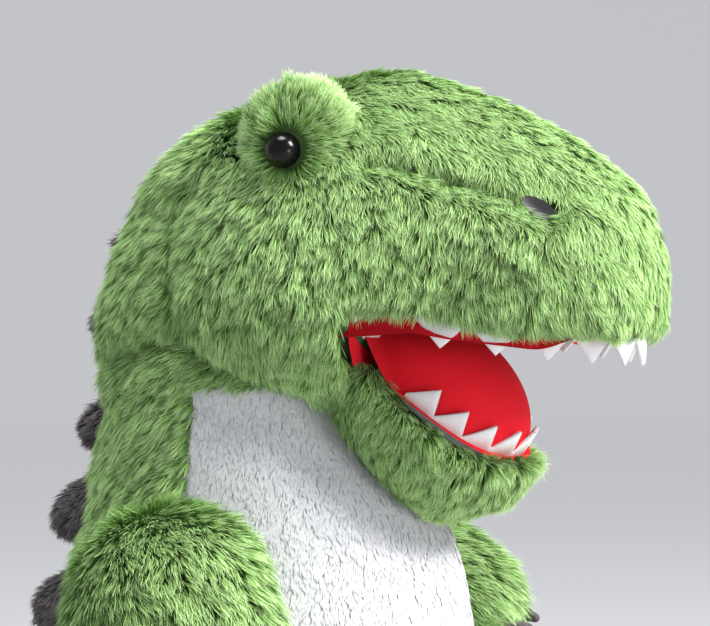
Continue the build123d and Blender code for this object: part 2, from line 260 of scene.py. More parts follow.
def strands(name, root, normal, comb, long, wide, lift, rng, lock=4.0, gather=0.55, stray=0.2, roll=0.45,
            rise=0.2):
    """One mesh of pile. A strand is a leaf of two triangles, from its root to its widest point half way and
    on to its tip. It leans along comb, flattened on to the skin, and stands at angle lift. Its tip is drawn
    towards its lock's middle. The colour attribute holds the place along the strand, the lock's tone, and
    the strand's own tone. The more roll, the more it turns its edge, and the more rise, the more its lower
    half stands up. No strand goes through the ground."""
    n = len(root)
    lie = normalise(comb - (comb * normal).sum(1, keepdims=True) * normal)
    side = np.cross(normal, lie)
    centre, tone = locks(root, lock)
    sway = np.sin(root @ (0.31, 0.17, 0.23)) + np.sin(root @ (-0.13, 0.29, -0.19) + 2.0)
    long = long * (0.72 + 0.5 * rng.random(n)) * (0.85 + 0.3 * tone)
    stand = lift * (0.8 + 0.4 * rng.random(n)) + (tone - 0.5) * 0.2
    swing = rng.normal(0, stray, n) + (tone - 0.5) * 0.6 + 0.16 * sway
    heading = lie * np.cos(swing)[:, None] + side * np.sin(swing)[:, None]
    up, flat = np.sin(stand)[:, None], np.cos(stand)[:, None]
    first = normalise(heading * flat * 0.75 + normal * (up + rise))
    second = normalise(heading * flat * 1.15 + normal * up * 0.6)
    pull = centre - root
    pull = pull - (pull * normal).sum(1, keepdims=True) * normal
    gather = np.broadcast_to(gather(root) if callable(gather) else gather, n)[:, None]
    middle = root + first * (long * 0.5)[:, None] + pull * gather * 0.4
    tip = middle + second * (long * 0.5)[:, None] + pull * gather * 0.6
    twist = rng.normal(0, roll, n)[:, None]
    across = np.cross(normal, heading) * np.cos(twist) + normal * np.sin(twist)
    across = across * (wide * (0.75 + 0.5 * rng.random(n)) / 2)[:, None]
    points = np.stack([root, middle + across, tip, middle - across], 1)
    points[..., 2] = np.maximum(points[..., 2], LOWEST_STRAND)
    corners = (np.arange(n)[:, None] * 4 + np.array([0, 1, 3, 1, 2, 3])).ravel().astype(np.int32)
    mesh = bpy.data.meshes.new(name)
    mesh.vertices.add(4 * n)
    mesh.vertices.foreach_set("co", (points * MM).astype(np.float32).ravel())
    mesh.loops.add(6 * n)
    mesh.loops.foreach_set("vertex_index", corners)
    mesh.polygons.add(2 * n)
    mesh.polygons.foreach_set("loop_start", np.arange(2 * n, dtype=np.int32) * 3)
    mesh.update(calc_edges=True)
    mesh.polygons.foreach_set("use_smooth", np.ones(2 * n, bool))
    along = np.tile([0.0, 0.5, 1.0, 0.5], n)
    own = rng.random(n)
    colour = np.stack([along, np.repeat(tone, 4), np.repeat(own, 4), np.ones(4 * n)], 1)
    mesh.attributes.new("pile", "FLOAT_COLOR", "POINT").data.foreach_set(
        "color", colour.astype(np.float32).ravel())
    made = bpy.data.objects.new(name, mesh)
    scene.collection.objects.link(made)
    return made


def pile_material(name, root, middle, tip, rough=0.6, sheen=0.2, spread=(0.74, 1.22)):
    """Pile that is darkest at its root, painted shade for the shadow deep among the strands, and lightest at
    its tip, painted light where the tips catch it. The colour runs from root to tip in sRGB bytes, and each
    lock and each strand is a little lighter or darker than its neighbours."""
    made = bpy.data.materials.new(name)
    made.use_nodes = True
    nodes, links = made.node_tree.nodes, made.node_tree.links
    shader = nodes["Principled BSDF"]
    pile = nodes.new("ShaderNodeAttribute")
    pile.attribute_name = "pile"
    parts = nodes.new("ShaderNodeSeparateColor")
    links.new(pile.outputs["Color"], parts.inputs[0])
    ramp = nodes.new("ShaderNodeValToRGB")
    stops = ramp.color_ramp.elements
    # The root stop is painted shade deep in the pile, and the tip stop is painted light on the tips.
    stops[0].color, stops[1].color = linear(root), linear(tip)
    centre = stops.new(0.5)
    centre.color = linear(middle)
    links.new(parts.outputs["Red"], ramp.inputs["Fac"])
    tones = nodes.new("ShaderNodeMath")
    tones.operation = "ADD"
    links.new(parts.outputs["Green"], tones.inputs[0])
    links.new(parts.outputs["Blue"], tones.inputs[1])
    value = nodes.new("ShaderNodeMapRange")
    value.inputs["From Max"].default_value = 2.0
    value.inputs["To Min"].default_value, value.inputs["To Max"].default_value = spread
    links.new(tones.outputs[0], value.inputs["Value"])
    shift = nodes.new("ShaderNodeHueSaturation")
    links.new(value.outputs["Result"], shift.inputs["Value"])
    links.new(ramp.outputs["Color"], shift.inputs["Color"])
    links.new(shift.outputs["Color"], shader.inputs["Base Color"])
    shader.inputs["Roughness"].default_value = rough
    shader.inputs["Sheen Weight"].default_value = sheen
    shader.inputs["Specular IOR Level"].default_value = 0.25
    return made


# Its root colour is painted shade deep in the pile, and its tip colour is painted light on the tips.
green_pile = pile_material("green_pile", (40, 66, 22), (108, 150, 70), (190, 222, 156), sheen=0.0)
# The backing's dark green is painted shade where it shows through the pile, most of all in the bare patch
# above each nostril.
green_backing = plain("green_backing", (52, 78, 32), 0.9)
filling = plain("filling", (236, 236, 232), 0.95)


def skin(name, surface, t_range, turn_range, rows=60, columns=80, inset=0.0, material=None):
    """The backing cloth of a panel, a grid of the surface between those limits, drawn in by inset."""
    t, turn = np.meshgrid(np.linspace(*t_range, rows), np.linspace(*turn_range, columns), indexing="ij")
    points = surface(t, turn)
    if inset:
        points = points - normals_of(surface, t, turn) * inset
    made = grid_mesh(name, points * MM)
    made.data.materials.append(material or green_backing)
    return made


def dress(piece, body, slot, *nodes, fill=None):
    """Put a piece on a body and have it stand in for nodes of the frame. The slot is not used, and
    fill is not used."""
    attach(piece, body)
    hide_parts(*nodes)


ROOT_DEPTH = 3.0


def cover(name, surface, per_mm2, keep, comb, long, wide, lift, seed, finish, material, depth=ROOT_DEPTH,
          **more):
    """Pile over a surface: scattered roots, those that keep() lets stand, in as many meshes as the strands
    need, cut from front to back. The roots lie depth under the surface, so that the surface is about where
    the pile ends. finish(piece) says what each mesh rides on."""
    rng = np.random.default_rng(seed)
    t, turn = scattered(surface, per_mm2, rng)
    root = surface(t, turn)
    kept = keep(root, t, turn % 1.0)
    t, turn, root = t[kept], turn[kept], root[kept]
    normal = normals_of(surface, t, turn)
    order = np.argsort(root[:, 1])
    made = []
    for i, rows in enumerate(np.array_split(order, max(1, math.ceil(len(order) / MOST_STRANDS)))):
        r, n = root[rows] - normal[rows] * depth, normal[rows]
        length = long(r) if callable(long) else np.full(len(r), float(long))
        angle = lift(r) if callable(lift) else np.full(len(r), float(lift))
        piece = strands(f"{name}_{i + 1}", r, n, comb(r, n), length, wide, angle, rng, **more)
        piece.data.materials.append(material)
        finish(piece)
        made.append(piece)
    return made


def mirrored(surface):
    """The same surface on the other side, its faces still outwards."""
    def other(t, turn):
        return surface(t, -turn) * (-1, 1, 1)
    return other


def side_of(p):
    """-1 on the right and 1 on the left."""
    return np.where(p[..., 0] < 0, -1.0, 1.0)


def filled(name, surface, body, *nodes, inset=8.0):
    """The polyester filling under a panel's backing, as one closed form."""
    piece = skin(name, surface, (0, 1), (0, 1), rows=40, columns=48, inset=inset, material=filling)
    dress(piece, body, "filling", *nodes)
    return piece


def rides(body):
    """What a piece does at the end: it moves with a body."""
    def finish(piece):
        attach(piece, body)
    return finish


def bends(a, b, start, end, slot):
    """What a piece that lies between two bodies does at the end: its place is baked into its mesh.
    a, b, start, end and slot are not used.
    """
    def finish(piece):
        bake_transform(piece)
    return finish


def torso_comb(p, n):
    """Down and towards the back, more steeply down lower on the body."""
    back = 0.35 + 0.6 * step(p[:, 2], 150, 240)
    return np.stack([0.15 * p[:, 0] / 80, back, -np.ones(len(p))], -1)


def all_of(*tests):
    """The places that pass every test."""
    return lambda p, t, turn: np.all([test(p, t, turn) for test in tests], 0)


NECK_SEAM_Z = 262
WHITE_TOP_Z = 291
TORSO_TOP_Z = 312
is_green = lambda p, t, turn: (p[:, 1] > BELLY_SEAM_Y) | (p[:, 2] > WHITE_TOP_Z)
low_body = lambda p, t, turn: (p[:, 2] < NECK_SEAM_Z) & (p[:, 2] > 57)
high_body = lambda p, t, turn: (p[:, 2] >= NECK_SEAM_Z) & (p[:, 2] < TORSO_TOP_Z)
body_density = lambda p: 1.25 + 1.65 * step(p[..., 2], 150, 220)
neck_bend = ("torso", "neck", (0, 0, 258), (0, 0, 296))
for side, limits in (("right", (0.5, 1.0)), ("left", (0.0, 0.5))):
    piece = skin(f"side_backing_{side}", torso_surface, (0, 1), limits, inset=BACKING_DEPTH)
    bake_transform(piece)
    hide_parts(f"body_side_{side}")
cover("side_pile", torso_surface, body_density, all_of(is_green, low_body), torso_comb, 10, 0.42, 0.55, 11,
      rides("torso"), green_pile)
filled("torso_filling", torso_surface, "torso", "torso_stuffing", inset=9.0)
cover("neck_pile", torso_surface, body_density, all_of(is_green, high_body), torso_comb, 10, 0.38, 0.58, 12,
      bends(*neck_bend, "green_plush"), green_pile)


# White front ----------------------------------------------------------------------------------------
# One panel of short silky white plush, sewn between the side panels from the chin down to the legs. The
# green pile hangs over its seams.
white_pile = pile_material("white_pile", (206, 207, 211), (212, 213, 217), (217, 218, 222), rough=0.85,
                           sheen=0.0, spread=(0.98, 1.02))
white_backing = plain("white_backing", (204, 206, 210), 0.9)


def front_surface(t, turn):
    """The torso's own form, a little inside the side panels, where turn 0.5 is the middle of the front."""
    return torso_surface(t, turn) * (0.995, 1, 1) + (0, 0.4, 0)


WHITE_TOP_T = 0.765
WHITE_TURNS = (0.22, 0.78)
piece = skin("belly_backing", front_surface, (0.0, WHITE_TOP_T), WHITE_TURNS, inset=0.9,
             material=white_backing)
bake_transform(piece)
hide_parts("belly_panel")
is_white = lambda p, t, turn: (p[:, 1] < BELLY_SEAM_Y + 2) & (p[:, 2] < WHITE_TOP_Z + 1)
down = lambda p, n: np.tile([0.0, 0.12, -1.0], (len(p), 1))
white_density = lambda p: 1.1 + 1.5 * step(p[..., 2], 150, 220)
silky = dict(depth=0.6, lock=3.0, gather=0.15, stray=0.12, roll=0.06, rise=0.02)
cover("belly_pile", front_surface, white_density, all_of(is_white, low_body), down, 3.4, 0.55, 0.04, 21,
      rides("torso"), white_pile, **silky)
cover("throat_pile", front_surface, white_density, all_of(is_white, high_body), down, 3.4, 0.55, 0.04, 22,
      bends(*neck_bend, "white_plush"), white_pile, **silky)


# Head -----------------------------------------------------------------------------------------------
# Two side panels and a top panel that narrows to the snout, stuffed hard. The seam between them runs from
# the brow to the nostril, and the cheeks end in a fold against the neck. Depths are how far a seam draws
# the cloth in.
CREASE_DEPTH, SEAM_DEPTH, NAPE_DEPTH, POCKET_DEPTH = 6.0, 4.5, 7.0, 5.0
CHEEK_BULGE = 2.5
HEAD = [(52, 308, 26, 20), (48, 310, 40, 34), (34, 318, 52, 57), (11, 322, 60, 75), (-18, 326, 65, 83),
        (-53, 330, 65, 87), (-80, 332, 59, 88.5), (-117, 332, 50, 77), (-150, 330, 45, 62.5),
        (-170, 328.5, 39, 50), (-181, 328, 31, 39), (-187, 327, 20, 25), (-190, 327, 1, 1)]
LIP = ([-196, -187, -170, -147, -117, -103, -80], [307, 307, 308.5, 310.5, 314, 316.5, 315])
CHEEK = ([-90, -75, -45, -20, 0, 12, 50], [280, 279, 282, 288, 291, 288, 288])
CREASE = [(-8, 374), (-3, 362), (0, 342), (-5, 310), (-20, 292), (-45, 284)]
SNOUT_SEAM = [(-84, 380), (-105, 376), (-130, 369), (-156, 360)]
EYE = np.array([-62.5, -53, 385])
BROW_AT, BROW_HALF = np.array([-42, -51, 390]), np.array([20, 23, 24])
NOSTRIL = np.array([-34.5, -152, 361])
NOSTRIL_POCKET = np.array([-30, -155, 368])
JAW_HINGE = np.array([0, -80, 298])


def head_bottom(y):
    """The height of the head's lower edge: the fold of the cheek, then up to the lip and on to the nose."""
    cheek = np.interp(y, *CHEEK)
    return cheek + (np.interp(y, *LIP) - cheek) * step(-y, 72, 84)


def line_distance(p, line):
    """How far each point is, seen from the side, from a line of (y, z) points."""
    best = np.full(p.shape[:-1], 1e9)
    q = p[..., 1:]
    for a, b in zip(np.array(line[:-1], float), np.array(line[1:], float)):
        f = np.clip(((q - a) @ (b - a)) / ((b - a) @ (b - a)), 0, 1)
        best = np.minimum(best, np.linalg.norm(q - a - f[..., None] * (b - a), axis=-1))
    return best


def signed_power(value, power):
    """value to that power, with its sign kept."""
    return np.sign(value) * np.abs(value) ** power


def crease_y(z):
    """Where the cheek's fold is at a height."""
    line = np.array(CREASE)[::-1]
    return np.interp(z, line[:, 1], line[:, 0])


def head_surface(t, turn):
    """Sections along -Y, turn 0 at the crown: half an oval above and a squarer half below, which ends at
    head_bottom. The cheek's fold, the snout's seam, the nape and the nostril are drawn in, and the cheek
    bulges before its fold."""
    y, cz, wide, up = between(HEAD, t)
    angle = 2 * math.pi * turn
    c, s = np.cos(angle), np.sin(angle)
    bottom = np.minimum(head_bottom(y), cz - 0.4)
    squarer = np.where(c < 0, 0.8 + 0.25 * step(y, -15, 10) - 0.35 * step(-y, 76, 92), 1.0)
    low = (cz - bottom) * np.minimum(1, wide / 34)
    p = np.stack([wide * signed_power(s, squarer), y,
                  cz + np.where(c > 0, up * c, low * signed_power(c, squarer))], -1)
    flank = np.maximum(step(np.abs(p[..., 0]), 14, 30), step(y, 20, 40) * (p[..., 2] < 318))
    behind = step(y - crease_y(p[..., 2]), -4, 6) * (1 - step(p[..., 2], 362, 380))
    pocket = np.linalg.norm((p - NOSTRIL_POCKET) * (0.4, 1, 1), axis=-1)
    dent = (CREASE_DEPTH * bump(line_distance(p, CREASE), 6)
            + SEAM_DEPTH * bump(line_distance(p, SNOUT_SEAM), 5)
            + NAPE_DEPTH * behind + POCKET_DEPTH * bump(pocket, 8))
    bulge = CHEEK_BULGE * bump(y + 52, 26) * bump(p[..., 2] - 322, 34)
    out = np.stack([s, np.zeros_like(s), 0.5 * c], -1)
    return p + out * ((bulge - dent) * flank)[..., None]


def on_right(p):
    """Each point, or its mirror image when it is on the left."""
    return p * np.stack([-side_of(p), np.ones(len(p)), np.ones(len(p))], -1)


def near_oval(p, middle, half):
    """Below 1 inside an oval body, on both sides of the animal."""
    return np.linalg.norm((on_right(p) - middle) / half, axis=-1)


def head_comb(p, n):
    """From the eye outwards, then down the cheek and the snout, forwards along the top, and down and back
    on the nape."""
    side = side_of(p)
    away = p - np.stack([EYE[0] * -side, np.full(len(p), EYE[1]), np.full(len(p), EYE[2])], -1)
    away[:, 0] = 0
    far = np.linalg.norm(away, axis=1)
    forward = step(-p[:, 1], 100, 175)
    side_nap = np.stack([np.zeros(len(p)), 0.14 - 0.36 * forward, -np.ones(len(p))], -1)
    side_nap += normalise(away) * (1.3 * bump(far, 42))[:, None]
    top_nap = np.stack([0.55 * side, -np.ones(len(p)), -0.4 * np.ones(len(p))], -1)
    back_nap = np.stack([0.1 * side, 0.75 * np.ones(len(p)), -np.ones(len(p))], -1)
    top = step(n[:, 2], 0.35, 0.7)[:, None]
    nape = step(p[:, 1], -25, 5)[:, None]
    front = side_nap * (1 - top) + top_nap * top
    return front * (1 - nape) + back_nap * nape


def snout_top(p):
    """1 on the top panel of the snout and on its tip, and 0 below its seams."""
    seam = np.interp(-p[:, 1], [70, 110, 160, 190], [388, 377, 362, 352])
    return np.maximum(step(-p[:, 1], 40, 70) * step(p[:, 2] - seam, -4, 6), step(-p[:, 1], 146, 168))


# On the top and the tip of the snout the pile is shorter and flatter than on the cheeks, and hardly gathers
# in locks.
head_length = lambda p: 9.5 - 2.0 * snout_top(p)
head_lift = lambda p: 0.6 - 0.28 * snout_top(p)
head_gather = lambda p: 0.55 - 0.47 * snout_top(p)


def above_lip(p, t, turn):
    """The places behind the mouth, or a little above the lip, higher towards the mouth's corner."""
    trim = 2.5 + 3.5 * step(p[:, 1], -135, -112)
    return (p[:, 1] > -76) | (p[:, 2] > np.interp(p[:, 1], *LIP) + trim)


fur_clear = all_of(
    above_lip,
    lambda p, t, turn: near_oval(p, BROW_AT, BROW_HALF * 0.9) > 1,
    # The trimmed patch reaches above the felt, where the bare dark backing is painted shade in the pocket.
    lambda p, t, turn: near_oval(p, NOSTRIL + (0, 0, 3), (13, 7, 6)) > 1)
is_nape = lambda p, t, turn: (p[:, 1] > crease_y(p[:, 2]) + 1) & (p[:, 2] < 334)
not_nape = lambda p, t, turn: ~is_nape(p, t, turn)
over_neck = lambda p, t, turn: (p[:, 1] < -12) | (p[:, 2] > 294)

for side, limits in (("right", (0.5, 1.0)), ("left", (0.0, 0.5))):
    piece = skin(f"head_backing_{side}", head_surface, (0, 1), limits, inset=BACKING_DEPTH, rows=110)
    dress(piece, "head", "green_plush", f"head_side_{side}", "head_top_gusset", fill=0.95)
cover("head_pile", head_surface, 3.5, all_of(fur_clear, not_nape, over_neck), head_comb, head_length, 0.33,
      head_lift, 31, rides("head"), green_pile, gather=head_gather)
filled("head_filling", head_surface, "head", "head_stuffing", inset=9.0)
cover("nape_pile", head_surface, 3.0, all_of(is_nape, over_neck), head_comb, 10, 0.38, 0.58, 32,
      bends("neck", "head", (0, 0, 298), (0, 0, 330), "green_plush"), green_pile)


# Brows ----------------------------------------------------------------------------------------------
# A round stuffed mound over each eye, of the same fur, whose pile radiates from the eye.
BEAD_CLEAR = 8.3


def egg(middle, half):
    """An oval body's surface, from its rear pole to its front one."""
    def surface(t, turn):
        around, along = 2 * math.pi * turn, math.pi * np.clip(t, 0, 1)
        ring = np.sin(along)
        return np.array(middle, float) + np.stack([half[0] * ring * np.sin(around), half[1] * np.cos(along),
                                                   half[2] * ring * np.cos(around)], -1)
    return surface


def outside_head(p, t, turn):
    """The places outside the head's own form."""
    rows = np.array(HEAD, float)[::-1]
    cz, wide, up = [np.interp(p[:, 1], rows[:, 0], rows[:, k]) for k in (1, 2, 3)]
    return (p[:, 0] / wide) ** 2 + ((p[:, 2] - cz) / up) ** 2 > 0.98


def eye_clear(p, t, turn):
    """The places that leave the bead of the eye free."""
    return np.linalg.norm(on_right(p) - EYE, axis=1) > BEAD_CLEAR


def brow_comb(p, n):
    """Away from the eye."""
    q = p - np.stack([EYE[0] * -side_of(p), np.full(len(p), EYE[1]), np.full(len(p), EYE[2])], -1)
    return q + np.stack([np.zeros(len(p)), np.zeros(len(p)), 0.15 * np.abs(q[:, 2])], -1)


brow_surface = egg(BROW_AT, BROW_HALF)
for side, surface in (("right", brow_surface), ("left", mirrored(brow_surface))):
    piece = skin(f"brow_backing_{side}", surface, (0, 1), (0, 1), inset=BACKING_DEPTH, rows=40, columns=60)
    dress(piece, "head", "green_plush", f"brow_{side}", fill=0.9)
    cover(f"brow_pile_{side}", surface, 3.5, all_of(outside_head, eye_clear), brow_comb, 8.5, 0.36, 0.6, 41,
          rides("head"), green_pile)


# Eyes -----------------------------------------------------------------------------------------------
# Black safety eyes: a glossy domed bead with a thin rim, whose shank holds a washer inside the brow.
EYE_SUNK = 2.0
EYE_TURN = math.radians(20)
eye_black = plain("eye_black", (7, 7, 8), 0.2)
eye_black.node_tree.nodes["Principled BSDF"].inputs["Specular IOR Level"].default_value = 0.22


def bead_point(r, h, turn):
    """A point of the right eye, r from its shank's line and h along it, which points out of the brow."""
    angle = 2 * math.pi * turn
    flat = np.stack([r * np.sin(angle), r * np.cos(angle), h], -1)
    c, s = math.cos(EYE_TURN), math.sin(EYE_TURN)
    axis, across, up = np.array([-c, -s, 0]), np.array([s, -c, 0]), np.array([0, 0, 1])
    return EYE - EYE_SUNK * axis + flat[..., :1] * across + flat[..., 1:2] * up + flat[..., 2:] * axis


def bead_surface(t, turn):
    """A shank, a rim and a low dome, turned: r and h from the shank's end to the crown."""
    profile = [(1.4, -11.0), (1.4, -5.0), (1.5, -1.6), (5.6, -1.2), (6.9, -0.9), (7.3, -0.2), (7.1, 0.6),
               (6.7, 1.3), (6.3, 2.1), (5.4, 3.7), (4.0, 5.1), (2.1, 6.0), (0.02, 6.3)]
    r, h = between(profile, t)
    return bead_point(r, h, turn)


def washer_surface(t, turn):
    """The plastic disc pushed on to the bead's shank, inside the brow."""
    r, h = between([(1.6, -8.0), (6.2, -8.0), (6.2, -9.4), (1.6, -9.4), (1.6, -8.0)], t)
    return bead_point(r, h, turn)


washer_plastic = plain("washer_plastic", (226, 226, 224), 0.4)
for side, surface in (("right", washer_surface), ("left", mirrored(washer_surface))):
    piece = skin(f"washer_{side}", surface, (0, 1), (0, 1), rows=24, columns=40, material=washer_plastic)
    dress(piece, "head", "washer_plastic", f"eye_washer_{side}")
for side, surface in (("right", bead_surface), ("left", mirrored(bead_surface))):
    piece = skin(f"eye_bead_{side}", surface, (0, 1), (0, 1), rows=48, columns=64, material=eye_black)
    dress(piece, "head", "eye_plastic", f"eye_{side}")


# Nostrils -------------------------------------------------------------------------------------------
# An oval of grey felt let into a pocket of the snout's top panel, with the fur trimmed back round it.
# The bare dark backing above the felt is painted shade in the pocket.
nostril_felt = plain("nostril_felt", (78, 77, 80), 0.95)
NOSTRIL_HALF = (6.4, 3.2)


def nostril_surface(t, turn):
    """A dished oval in the plane of the snout's flank, its front end lower."""
    angle = 2 * math.pi * turn
    c, s = math.cos(math.radians(14)), math.sin(math.radians(14))
    across, up, out = np.array([s, -c, -0.62]), np.array([0.3, -0.5, 0.8]), np.array([-c, -s, 0.3])
    long, high = NOSTRIL_HALF
    dish = 1.5 * t ** 2 - 0.6
    return (NOSTRIL + (long * t * np.sin(angle))[..., None] * across
            + (high * t * np.cos(angle))[..., None] * up + dish[..., None] * out)


for side, surface in (("right", nostril_surface), ("left", mirrored(nostril_surface))):
    piece = skin(f"nostril_felt_{side}", surface, (0.01, 1), (0, 1), rows=14, columns=48,
                 material=nostril_felt)
    dress(piece, "head", "nostril_felt", f"nostril_{side}")


# Mouth lining ---------------------------------------------------------------------------------------
# Red velour: a palate under the snout, a soft tongue on the jaw, and a fold of the same cloth behind them.
red_velour = plain("red_velour", (226, 30, 44), 0.85)
red_velour.node_tree.nodes["Principled BSDF"].inputs["Specular IOR Level"].default_value = 0.15
PALATE_HEM = 8.0


def palate_surface(t, turn):
    """From the corner of the mouth to the nose and from side to side, arched a little, with a hem that
    hangs inside each lip."""
    y = -72 - 112 * t
    rows = np.array(HEAD, float)[::-1]
    wide = np.interp(y, rows[:, 0], rows[:, 2]) - 7
    across = 1 - 2 * turn
    hem = PALATE_HEM * step(np.abs(across), 0.82, 1.0) * (1 - step(-y, 150, 175))
    return np.stack([wide * across, y, np.interp(y, *LIP) + 3.5 + 5 * (1 - across ** 2) - hem], -1)


piece = skin("palate_velour", palate_surface, (0, 1), (0, 1), rows=60, columns=50, material=red_velour)
dress(piece, "head", "red_lining", "palate_lining")


def fold_surface(t, turn):
    """The back of the mouth: a curtain from the palate's rear down behind the tongue."""
    across = 1 - 2 * turn
    y = -79 + 3 * (1 - across ** 2) + 2 * np.sin(math.pi * t)
    return np.stack([51 * across, y, 323 - 24 * t], -1)


piece = skin("mouth_fold", fold_surface, (0, 1), (0, 1), rows=24, columns=40, material=red_velour)
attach(piece, "head")


# Jaw ------------------------------------------------------------------------------------------------
# A stuffed scoop of green fur that hangs from the corners of the mouth, its lip turned in.
JAW_SLOPE = math.radians(38)
JAW = [(-12, -4, 38, 15, 24), (0, -5, 45, 13, 28), (16, -5, 46, 7, 33), (33, -5, 43, 6, 35),
       (46, -6, 38, 6, 33), (55, -6, 31, 7, 29), (62, -6, 24, 9, 21), (67.5, -6, 13, 9, 12),
       (69.5, -5, 1, 1, 1)]


def jaw_world(local):
    """From the jaw's own (x, u, v), u forward along its slope, to the animal's frame."""
    c, s = math.cos(JAW_SLOPE), math.sin(JAW_SLOPE)
    x, u, v = local[..., 0], local[..., 1], local[..., 2]
    return JAW_HINGE + np.stack([x, -u * c - v * s, -u * s + v * c], -1)


def jaw_turn(vector):
    """A direction (x, u, v) in the jaw's own frame, in the animal's."""
    return jaw_world(np.array(vector, float)) - JAW_HINGE


def jaw_surface(t, turn):
    """Sections along the jaw, turn 0 at the middle of its upper side, squarer at the lips."""
    u, v, wide, up, low = between(JAW, t)
    angle = 2 * math.pi * turn
    c, s = np.cos(angle), np.sin(angle)
    square = np.where(c > 0, 0.7, 0.85)
    local = np.stack([wide * signed_power(s, square), u,
                      v + np.where(c > 0, up, low) * signed_power(c, square)], -1)
    return jaw_world(local)


def jaw_comb(p, n):
    """Outwards and down from the lip, a little forwards."""
    return jaw_turn((0, 0.45, -1)) + np.stack([0.25 * side_of(p), 0 * p[:, 0], 0 * p[:, 0]], -1)


def jaw_local(p):
    """The jaw's own (x, u, v) of a point in the animal's frame."""
    c, s = math.cos(JAW_SLOPE), math.sin(JAW_SLOPE)
    q = p - JAW_HINGE
    return np.stack([q[..., 0], -q[..., 1] * c - q[..., 2] * s, -q[..., 1] * s + q[..., 2] * c], -1)


TOOTH_OVAL = (38, 42, 19)


def outside_teeth(p, t, turn):
    """The places on the jaw's underside and those on its rim outside the tooth strip, but not the inner
    ones by its hinge."""
    x, u, v = np.moveaxis(jaw_local(p), -1, 0)
    half, long, middle = TOOTH_OVAL
    ahead = np.maximum(u - middle, 0)
    beyond = (x / (half + 1.5)) ** 2 + (ahead / (long + 1.5)) ** 2 > 1
    return (((turn > 0.2) & (turn < 0.8)) | beyond) & ((u > 2) | (v < -12) | (np.abs(x) > 41))


piece = skin("jaw_backing", jaw_surface, (0.12, 1), (0.10, 0.90), inset=BACKING_DEPTH)
dress(piece, "jaw", "green_plush", "jaw_skin", fill=0.8)
filled("jaw_filling", jaw_surface, "jaw", "jaw_stuffing", inset=9.0)
cover("jaw_pile", jaw_surface, 3.5, outside_teeth, jaw_comb, 8.5, 0.36, 0.62, 51, rides("jaw"),
      green_pile)


TONGUE = (20, 41, 34, 29)


def tongue_surface(t, turn):
    """The jaw's red floor from the lips inwards, with the tongue's dome rising out of it, part of an oval
    body."""
    u, v, wide, up, low = between(JAW[:-1], t)
    across = 2 * turn - 1
    x = (wide - 4) * across
    at, half_long, half_wide, tall = TONGUE
    dome = tall * np.sqrt(np.maximum(1 - ((u - at) / half_long) ** 2 - (x / half_wide) ** 2, 0))
    floor = v + up - 2.5
    return jaw_world(np.stack([x, u, floor + np.logaddexp(0, (dome - floor) / 1.5) * 1.5], -1))


piece = skin("tongue_velour", tongue_surface, (0, 0.9), (0, 1), rows=110, columns=90, material=red_velour)
dress(piece, "jaw", "red_lining", "tongue_lining")


# Teeth ----------------------------------------------------------------------------------------------
# Two strips of white felt with their teeth cut in one zigzag, sewn in along the upper lip and the lower.
# A strip's values are its oval's half width and half length, each tooth's degrees of turn, and its height.
UPPER_TEETH = (43, 82, 16, 12.5)
LOWER_TEETH = (*TOOTH_OVAL[:2], 20, 12)
UPPER_TEETH_Y = -101
UPPER_TUCK, LOWER_TUCK = 3.8, 1.0
FELT = 1.8
TOOTH_ROOT = 2.5
white_felt = plain("white_felt", (222, 222, 225), 0.9)


def tooth_band(name, half, length, pitch, tall, place, lean=0.5):
    """A felt band round the front half of an oval, as a closed mesh. Each tooth rises from the band's
    root to a point at `lean` of its width. place(x, y, h) gives a point's position from its place on the
    oval, forward being +y, and its height."""
    count = int(180 / pitch)
    steps = 12
    share = np.linspace(0, count, count * steps + 1)
    angle = np.radians(-90 + share * 180 / count)
    tooth = share % 1.0
    height = np.where(tooth < lean, tooth / lean, (1 - tooth) / (1 - lean))
    height = 1.5 + (tall - 1.5) * height
    x, y = half * np.sin(angle), length * np.cos(angle)
    nx, ny = x / half ** 2, y / length ** 2
    size = np.hypot(nx, ny)
    rings = []
    root = np.full_like(height, -TOOTH_ROOT)
    for out, h in ((0, root), (0, height * 0.5), (0, height - 0.3), (0.4, height), (FELT - 0.4, height),
                   (FELT, height - 0.3), (FELT, height * 0.5), (FELT, root)):
        rings.append(place(x - nx / size * out, y - ny / size * out, h))
    points = np.stack(rings, 1)
    made = grid_mesh(name, points * MM, wrap=True)
    made.data.materials.append(white_felt)
    return made


def upper_place(x, y, h):
    """Hanging from the upper lip."""
    y = UPPER_TEETH_Y - y
    return np.stack([x, y, np.interp(y, *LIP) + UPPER_TUCK - h], -1)


def lower_place(x, y, h):
    """Standing on the jaw's lip."""
    u = TOOTH_OVAL[2] + y
    rows = np.array(JAW, float)
    rim = np.interp(u, rows[:, 0], rows[:, 1] + rows[:, 3])
    return jaw_world(np.stack([x, u, rim - LOWER_TUCK + h], -1))


piece = tooth_band("upper_tooth_strip", *UPPER_TEETH, upper_place)
dress(piece, "head", "white_felt", "upper_teeth")
piece = tooth_band("lower_tooth_strip", *LOWER_TEETH, lower_place, lean=0.75)
dress(piece, "jaw", "white_felt", "lower_teeth")


# Arms -----------------------------------------------------------------------------------------------
# Short round lobes of fur, each sewn flat to the body's side and turned about that seam.
SHOULDER = np.array([-69.5, -18, 200])
ARM = [(-38, 1, 1), (-36, 10, 11), (-30, 23, 27), (-6, 34, 41), (25, 30, 35), (48, 26, 27), (66, 19, 19),
       (74, 9, 9), (76, 1, 1)]
ARM_OUT = -22
ARM_TILT = math.radians(10)


